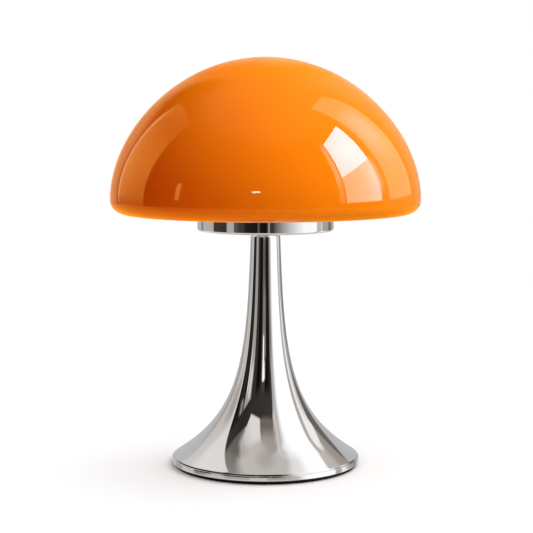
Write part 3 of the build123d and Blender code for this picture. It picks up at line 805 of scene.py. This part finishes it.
metalSky = {
    "radius": 13,
    "height": 0.10,
    "floor": (0.72, 0.69, 0.66),
    "horizon": (-17, -13),
    "room": (0.64, 0.605, 0.575),
    "sky": [
        # grey above the dark room on the left
        ((-150, -90), (48, 48), (73, 68), (7, 4), (0.38, 0.345, 0.32), (0.15, 0.137, 0.127)),
        ((-106, -62), (45, 45), (70, 55), (6, 5.5), (0.17, 0.155, 0.143), (0.13, 0.12, 0.11)),
        # dark room
        ((-118, -66), (20, 20), (56.5, 53), (2, 1.5), (0.055, 0.050, 0.045), (0.026, 0.024, 0.022)),
        ((-80, 22.3), (-13, -13), (53, 55), (1.4, 0.9), (0.028, 0.026, 0.024), (0.052, 0.046, 0.041)),
        ((-104, -80), (-13, -13), (44, 42), (1, 4), (0.008, 0.007, 0.006), (0.022, 0.020, 0.018)),
        ((-51, -37), (-13, -13), (24, 20), (1.5, 6), (0.052, 0.046, 0.041), (0.036, 0.032, 0.028)),
        ((-37, -19.5), (-13, -13), (31, 27), (2.5, 5), (0.006, 0.005, 0.005), (0.008, 0.007, 0.006)),
        ((2.5, 21.2), (-13, -13), (31, 30), (1.5, 7), (0.012, 0.011, 0.010), (0.012, 0.011, 0.010)),
        ((-4, 5), (13, 13), (30, 30), (1.2, 6), (0.004, 0.004, 0.004), (0.008, 0.007, 0.006)),
        ((-14, -3.5), (22, 22), (30, 30), (2, 4), (0.08, 0.072, 0.064), (0.06, 0.052, 0.047)),
        # light panel above it, and the dusk in the middle
        ((-98, -74), (70, 64), (95, 95), (6, 4), (0.45, 0.42, 0.40), (0.60, 0.57, 0.545)),
        ((-76, -46), (63.5, 45.2), (95, 95), (1.5, 0.9), (0.66, 0.63, 0.605), (0.88, 0.86, 0.84)),
        ((-47.5, -18.3), (45.0, 52.8), (95, 95), (2.0, 1.6), (0.88, 0.86, 0.84), (0.87, 0.85, 0.83)),
        ((-110, -8), (74, 72), (95, 95), (8, 4.5), (0.64, 0.605, 0.575), (0.60, 0.57, 0.54)),
        ((-6, 62), (70, 70), (95, 95), (14, 8), (0.50, 0.465, 0.44), (0.42, 0.39, 0.37)),
        ((-200, 200), (84, 84), (95, 95), (1, 5), (0.50, 0.465, 0.44), (0.50, 0.465, 0.44)),
        ((-19, 36), (60, 60), (78, 78), (3, 6), (0.44, 0.41, 0.385), (0.40, 0.37, 0.35)),
        ((-18, 27), (56, 56), (70, 69), (2.2, 5), (0.27, 0.24, 0.22), (0.29, 0.26, 0.24)),
        ((-18, 25), (52.6, 51.6), (63, 64), (1.6, 4), (0.17, 0.150, 0.135), (0.185, 0.163, 0.148)),
        # streaked window on the left
        ((-95.5, -89.5), (-13, -13), (34, 34), (1.2, 6), (0.006, 0.005, 0.005), (0.006, 0.005, 0.005)),
        ((-89.5, -78), (-13, -13), (27, 27), (1.5, 5), (0.030, 0.027, 0.024), (0.026, 0.023, 0.021)),
        ((-78, -72), (-13, -13), (22, 26), (1.2, 3), (0.009, 0.008, 0.007), (0.009, 0.008, 0.007)),
        ((-84.5, -77.5), (27, 27), (38.5, 37.5), (1.2, 1.8), (0.18, 0.17, 0.16), (0.36, 0.34, 0.32)),
        ((-77.5, -71), (30, 29), (37.5, 36.5), (1.0, 2.0), (0.10, 0.093, 0.085), (0.20, 0.185, 0.175)),
        ((-71.5, -52.3), (-13, -13), (36.5, 31.5), (1.1, 1.0), (0.40, 0.38, 0.36), (0.46, 0.44, 0.42)),
        ((-69.2, -65.5), (7, 7), (25, 25), (1.2, 5), (0.95, 0.94, 0.93), (0.95, 0.94, 0.93)),
        ((-62, -56.5), (13, 13), (30, 29), (1.2, 4), (0.98, 0.97, 0.96), (0.98, 0.97, 0.96)),
        ((-55, -53), (8, 8), (20, 20), (0.8, 5), (0.85, 0.84, 0.83), (0.85, 0.84, 0.83)),
        # slim window in the middle
        ((-19, -8), (-1, -1), (7, 7), (2.5, 2.2), (0.04, 0.036, 0.033), (0.36, 0.34, 0.32)),
        ((-17, -6), (6, 6), (14, 14), (1.8, 2.5), (0.16, 0.15, 0.14), (0.55, 0.53, 0.51)),
        ((-8, 2), (0, 0), (12.4, 12.4), (1.6, 1.0), (0.30, 0.28, 0.265), (0.15, 0.137, 0.127)),
        ((-15, -2.6), (13.5, 13.5), (23.0, 22.4), (1.5, 1.2), (0.60, 0.58, 0.56), (0.70, 0.68, 0.66)),
        ((-13, -3.6), (17, 17), (23.0, 22.4), (1.2, 2.0), (1.0, 0.98, 0.96), (0.9, 0.88, 0.86)),
        ((-12, -7.4), (6.0, 6.0), (23.6, 23.6), (1.2, 0.7), (1.35, 1.35, 1.35), (1.35, 1.35, 1.35)),
        # great window on the right, with its halo
        ((78, 16), (57, 62), 0.035, (0.80, 0.775, 0.755)),
        ((79, 15.5), (55.5, 60), 0.06, (0.62, 0.59, 0.575)),
        ((21.5, 31), (-13, -13), (46, 46), (1.2, 6), (0.40, 0.37, 0.35), (0.60, 0.575, 0.56)),
        ((21.5, 33), (-13, -13), (12, 12), (1.5, 7), (0.10, 0.093, 0.088), (0.52, 0.51, 0.505)),
        ((16, 23.2), (16, 16), (51, 51), (0.9, 4), (0.052, 0.046, 0.041), (0.052, 0.046, 0.041)),
        ((68, 150), (58, 60), (73, 72), (9, 3), (1.0, 0.985, 0.97), (0.92, 0.89, 0.87)),
        ((84.5, 19), (48.5, 50), 0.15, (1.28, 1.29, 1.31)),
        ((85, 168), (20, 20), (64, 63), (3, 4), (1.28, 1.29, 1.31), (1.25, 1.25, 1.25)),
        ((124, 0), (29.6, 45), 0.05, (0.52, 0.485, 0.46)),
        ((129, 190), (-16, -16), (46, 52), (2, 1.2), (0.64, 0.59, 0.56), (0.60, 0.555, 0.525)),
        ((124, 0), (17.2, 41), 0.05, (1.08, 1.07, 1.06)),
        ((117, 134), (-16, -16), (22, 18), (5, 7), (0.72, 0.70, 0.68), (0.55, 0.53, 0.51)),
        ((131.5, 190), (-16, -16), (36, 40), (1.6, 5), (0.40, 0.37, 0.345), (0.40, 0.37, 0.345)),
        ((128, 149.5), (-13, -13), (21, 27), (1.5, 1.6), (0.145, 0.13, 0.12), (0.185, 0.165, 0.155)),
        ((120, 153), (-16, -16), (0.5, 2.5), (3, 3.5), (0.50, 0.47, 0.45), (0.30, 0.275, 0.26)),
        ((149.5, 190), (-16, -16), (30, 30), (1.5, 2), (0.55, 0.56, 0.575), (0.60, 0.61, 0.63)),
        # light wall on the left
        ((-165, 12), (69.2, 57), 0.016, (0.90, 0.87, 0.85)),
        ((-149, -104), (22, 22), (37, 37), (3, 5), (0.74, 0.71, 0.69), (0.66, 0.63, 0.60)),
        ((-150, -98.5), (-16, -16), (27, 26), (2.2, 4), (0.66, 0.63, 0.61), (0.62, 0.59, 0.565)),
        ((-121, -103), (9, 9), (29, 30), (4, 5), (0.50, 0.47, 0.445), (0.45, 0.42, 0.395)),
        ((-126, -112), (-3, -3), (9, 9), (3, 4), (0.72, 0.70, 0.69), (0.70, 0.67, 0.65)),
        ((-147, -124), (-16, -16), (27, 4), (2.2, 2.0), (0.44, 0.42, 0.405), (0.42, 0.395, 0.375)),
        ((-190, -144), (-16, -16), (26, 26), (3, 3), (0.58, 0.595, 0.62), (0.55, 0.56, 0.575)),
    ],
    # fine upright streaks: reach, foot, top and softness as in a patch, then their amount
    "streaks": [
        (((-97, -52), (-1, -1), (40, 40), (1, 3)), 0.55),
        (((96, 132), (-1, -1), (44, 44), (1, 3)), 0.08),
    ],
    "streakNoise": {"Scale": 0.55, "Detail": 2.0},
    "streakSpan": (0.35, 0.65),
    "parts": [
        (-180, -50, -90, -2.5), (-50, 70, -90, -2.5), (70, 180, -90, -2.5),
        (-180, -100, -2.5, 90), (-100, -45, -2.5, 90), (-45, 30, -2.5, 90), (30, 180, -2.5, 90),
    ],
}


def bandPatch(left, right, soft, levelLeft, levelRight):
    foot, top, softness = bandReach["foot"], bandReach["top"], bandReach["softness"]
    return ((left, right), (foot, foot), (top, top), (soft, softness), levelLeft, levelRight)


metalSky["sky"] += [bandPatch(*band) for band in lowBands]


def isRound(patch):
    return isinstance(patch[2], float)


def patchTouches(patch, part):
    # whether a patch reaches into a part of the sky
    if isRound(patch):
        middle, half, soft = patch[:3]
        box = [m + d * h * (1 + soft) for m, h in zip(middle, half) for d in (-1, 1)]
    else:
        reach, foot, top, soft = patch[:4]
        box = [reach[0] - soft[0], reach[1] + soft[0], min(foot) - soft[1], max(top) + soft[1]]
    return box[0] < part[1] and box[1] > part[0] and box[2] < part[3] and box[3] > part[2]


def patchMask(tree, across, up, patch):
    reach, foot, top, soft = patch[:4]
    share = ramp(tree, across, reach[0], reach[1], 0.0, 1.0)
    masks = [
        ramp(tree, across, reach[0] - soft[0], reach[0] + soft[0], 0.0, 1.0, "SMOOTHSTEP"),
        ramp(tree, across, reach[1] - soft[0], reach[1] + soft[0], 1.0, 0.0, "SMOOTHSTEP"),
    ]
    for ends, low, high in ((foot, 0.0, 1.0), (top, 1.0, 0.0)):
        edge = ramp(tree, share, 0.0, 1.0, ends[0], ends[1])
        above = doMath(tree, "SUBTRACT", up, edge)
        masks.append(ramp(tree, above, -soft[1], soft[1], low, high, "SMOOTHSTEP"))
    mask = masks[0]
    for other in masks[1:]:
        mask = doMath(tree, "MULTIPLY", mask, other)
    return mask, share


roundPower = 2.4     # 2 is an ellipse, more is squarer


def roundMask(tree, across, up, patch):
    middle, half, soft = patch[:3]
    reaches = []
    for value, centre, size in ((across, middle[0], half[0]), (up, middle[1], half[1])):
        reach = doMath(tree, "DIVIDE", doMath(tree, "SUBTRACT", value, centre), size)
        reaches.append(doMath(tree, "POWER", doMath(tree, "ABSOLUTE", reach), roundPower))
    away = doMath(tree, "ADD", *reaches)
    return ramp(tree, away, 1 - 2 * soft, 1 + 2 * soft, 1.0, 0.0, "SMOOTHSTEP")


def paintPatch(tree, across, up, colour, patch):
    if isRound(patch):
        return mixColour(tree, roundMask(tree, across, up, patch), colour, rgb(*patch[3]))
    mask, share = patchMask(tree, across, up, patch)
    return mixColour(tree, mask, colour, mixColour(tree, share, rgb(*patch[4]), rgb(*patch[5])))


leastOut = 0.0001     # keeps the flat panels from being divided by zero


def inDegrees(tree, value):
    return doMath(tree, "MULTIPLY", value, 180 / math.pi)


def paintSky(tree, sky, part):
    spot = addNode(tree, "ShaderNodeTexCoord").outputs["Object"]
    spot = addNode(tree, "ShaderNodeVectorMath", {0: spot}, operation="NORMALIZE").outputs[0]
    x, y, z = addNode(tree, "ShaderNodeSeparateXYZ", {0: spot}).outputs
    ahead = doMath(tree, "MULTIPLY", y, -1.0)
    azimuth = inDegrees(tree, doMath(tree, "ARCTAN2", x, ahead))
    elevation = inDegrees(tree, doMath(tree, "ARCSINE", z))
    above = ramp(tree, elevation, *sky["horizon"], 0.0, 1.0, "SMOOTHSTEP")
    colour = mixColour(tree, above, rgb(*sky["floor"]), rgb(*sky["room"]))
    for patch in sky["sky"]:
        if patchTouches(patch, part):
            colour = paintPatch(tree, azimuth, elevation, colour, patch)
    for name, side in (("right", 1.0), ("left", -1.0)):
        if name not in sky or (part[0] < 0) == (side > 0):
            continue
        out = doMath(tree, "MAXIMUM", doMath(tree, "MULTIPLY", x, side), leastOut)
        along = doMath(tree, "DIVIDE", y, out)
        up = doMath(tree, "DIVIDE", z, out)
        for patch in sky[name]:
            colour = paintPatch(tree, along, up, colour, patch)
    for patch, amount in sky.get("streaks", []):
        if not patchTouches(patch, part):
            continue
        lines = addNode(tree, "ShaderNodeTexNoise", {"W": azimuth, **sky["streakNoise"]},
                        noise_dimensions="1D").outputs["Fac"]
        lines = ramp(tree, lines, *sky["streakSpan"], 1 - amount, 1 + amount)
        mask, _ = patchMask(tree, azimuth, elevation, patch)
        streaked = mixColour(tree, 1.0, colour, lines, "MULTIPLY")
        colour = mixColour(tree, mask, colour, streaked)
    return colour


def linkGroup(name, pieces, state):
    group = bpy.data.collections.new(name)
    for piece in pieces:
        group.objects.link(piece)
    for member in group.collection_objects:
        member.light_linking.link_state = state
    return group


def linkLight(light, only, but):
    state = "INCLUDE" if only else "EXCLUDE"
    light.light_linking.receiver_collection = linkGroup(light.name, [only or but], state)


def skyMesh(name, radius, part, step=2.5):
    # a piece of a sphere between two azimuths and two elevations
    columns = round((part[1] - part[0]) / step)
    rows = round((part[3] - part[2]) / step)
    points, faces = [], []
    for row in range(rows + 1):
        elevation = math.radians(part[2] + step * row)
        for column in range(columns + 1):
            azimuth = math.radians(part[0] + step * column)
            points.append((radius * math.sin(azimuth) * math.cos(elevation),
                           -radius * math.cos(azimuth) * math.cos(elevation),
                           radius * math.sin(elevation)))
    wide = columns + 1
    for row in range(rows):
        for column in range(columns):
            first = row * wide + column
            faces.append((first, first + 1, first + wide + 1, first + wide))
    mesh = bpy.data.meshes.new(name)
    mesh.from_pydata(points, [], faces)
    return mesh


def addSky(name, sky, only=None, but=None):
    # a shader holds about forty patches, so a rich sky is made of parts
    for number, part in enumerate(sky["parts"]):
        mesh = skyMesh(name + str(number), sky["radius"], part)
        piece = bpy.data.objects.new(mesh.name, mesh)
        piece.location.z = sky["height"]
        bpy.context.scene.collection.objects.link(piece)
        material = bpy.data.materials.new(mesh.name)
        material.use_nodes = True
        material.cycles.emission_sampling = "NONE"
        tree = material.node_tree
        tree.nodes.clear()
        colour = paintSky(tree, sky, part)
        glow = addNode(tree, "ShaderNodeEmission", {"Color": colour, "Strength": 1.0})
        clear = addNode(tree, "ShaderNodeBsdfTransparent")
        both = addNode(tree, "ShaderNodeAddShader", {0: glow.outputs[0], 1: clear.outputs[0]})
        addNode(tree, "ShaderNodeOutputMaterial", {"Surface": both.outputs[0]})
        mesh.materials.append(material)
        for ray in ("camera", "diffuse", "transmission", "volume_scatter", "shadow"):
            setattr(piece, "visible_" + ray, False)
        linkLight(piece, only, but)


addSky("glassSky", glassSky, only=shadePiece)
addSky("metalSky", metalSky, but=shadePiece)


studio = {
    "white": (1.0, 1.0, 1.0),
    "ambient": (0.135, 0.135, 0.135),
}


def buildWorld():
    world = bpy.data.worlds.new("studio")
    bpy.context.scene.world = world
    world.use_nodes = True
    tree = world.node_tree
    tree.nodes.clear()
    rays = addNode(tree, "ShaderNodeLightPath").outputs
    colour = mixColour(tree, rays["Is Glossy Ray"], rgb(*studio["ambient"]), rgb(0, 0, 0))
    seen = doMath(tree, "MAXIMUM", rays["Is Camera Ray"], rays["Is Transmission Ray"])
    colour = mixColour(tree, seen, colour, rgb(*studio["white"]))
    light = addNode(tree, "ShaderNodeBackground", {"Color": colour, "Strength": 1.0})
    addNode(tree, "ShaderNodeOutputWorld", {"Surface": light.outputs[0]})


buildWorld()

floorLook = {"radius": 1.5, "colour": (0.598, 0.612, 0.616), "below": 0.00005}


def addFloor():
    mesh = bpy.data.meshes.new("floor")
    shape = bmesh.new()
    bmesh.ops.create_circle(shape, cap_ends=True, segments=128, radius=floorLook["radius"])
    shape.to_mesh(mesh)
    shape.free()
    floor = bpy.data.objects.new("floor", mesh)
    floor.location.z = -floorLook["below"]
    bpy.context.scene.collection.objects.link(floor)
    material = bpy.data.materials.new("floorWhite")
    material.use_nodes = True
    tree = material.node_tree
    tree.nodes.clear()
    plain = addNode(tree, "ShaderNodeBsdfDiffuse", {"Color": rgb(*floorLook["colour"])})
    addNode(tree, "ShaderNodeOutputMaterial", {"Surface": plain.outputs[0]})
    mesh.materials.append(material)
    for ray in ("diffuse", "glossy", "shadow"):
        setattr(floor, "visible_" + ray, False)
    return floor


floorPiece = addFloor()

# azimuth and elevation as in the skies; only and but name what a light reaches or spares,
# and shadowOf names the pieces that cast its shadow
lights = {
    "key": {"azimuth": 72, "elevation": 41, "angle": 60, "strength": 4.31, "but": floorPiece},
    "back": {"azimuth": -176, "elevation": 30, "angle": 60, "strength": 2.4, "colour": (1.0, 0.9, 1.0),
             "only": shadePiece},
    "warm": {"azimuth": -38, "elevation": 0, "angle": 80, "strength": 0.87, "colour": (1.0, 0.0, 0.0),
             "only": shadePiece},
    "under": {"azimuth": 20, "elevation": -87, "angle": 40, "strength": 1.75, "colour": (1.0, 1.0, 0.9),
              "only": shadePiece},
    "floorLight": {"azimuth": 115, "elevation": 54, "angle": 64, "strength": 2.6,
                   "only": floorPiece, "shadowOf": footPieces},
    "floorRoom": {"azimuth": 0, "elevation": 90, "angle": 165, "strength": 3.25,
                  "only": floorPiece, "shadowOf": footPieces},
}


def addSun(name, look):
    data = bpy.data.lights.new(name, "SUN")
    data.energy = look["strength"]
    data.angle = math.radians(look["angle"])
    data.color = look.get("colour", (1.0, 1.0, 1.0))
    lamp = bpy.data.objects.new(name, data)
    bpy.context.scene.collection.objects.link(lamp)
    a, e = math.radians(look["azimuth"]), math.radians(look["elevation"])
    toLamp = Vector((math.sin(a) * math.cos(e), -math.cos(a) * math.cos(e), math.sin(e)))
    lamp.rotation_mode = "QUATERNION"
    lamp.rotation_quaternion = toLamp.to_track_quat("Z", "Y")
    lamp.visible_glossy = False
    linkLight(lamp, look.get("only"), look.get("but"))
    if look.get("shadowOf"):
        lamp.light_linking.blocker_collection = linkGroup(name + "Shadow", look["shadowOf"], "INCLUDE")


for lightName, look in lights.items():
    addSun(lightName, look)

print("studio made")

cameraLook = {
    "distance": 1.447,
    "height": 0.34446,
    "side": 0.00098,
    "pitch": 5.859,
    "lens": 100,
    "sensor": 36,
    "clip": (0.05, 30),
}


def addCamera():
    data = bpy.data.cameras.new("camera")
    data.lens = cameraLook["lens"]
    data.sensor_width = cameraLook["sensor"]
    data.clip_start, data.clip_end = cameraLook["clip"]
    camera = bpy.data.objects.new("camera", data)
    bpy.context.scene.collection.objects.link(camera)
    camera.location = (cameraLook["side"], -cameraLook["distance"], cameraLook["height"])
    camera.rotation_euler = (math.radians(90 - cameraLook["pitch"]), 0, 0)
    bpy.context.scene.camera = camera


addCamera()
bpy.context.scene.view_settings.view_transform = "Standard"

print("done")
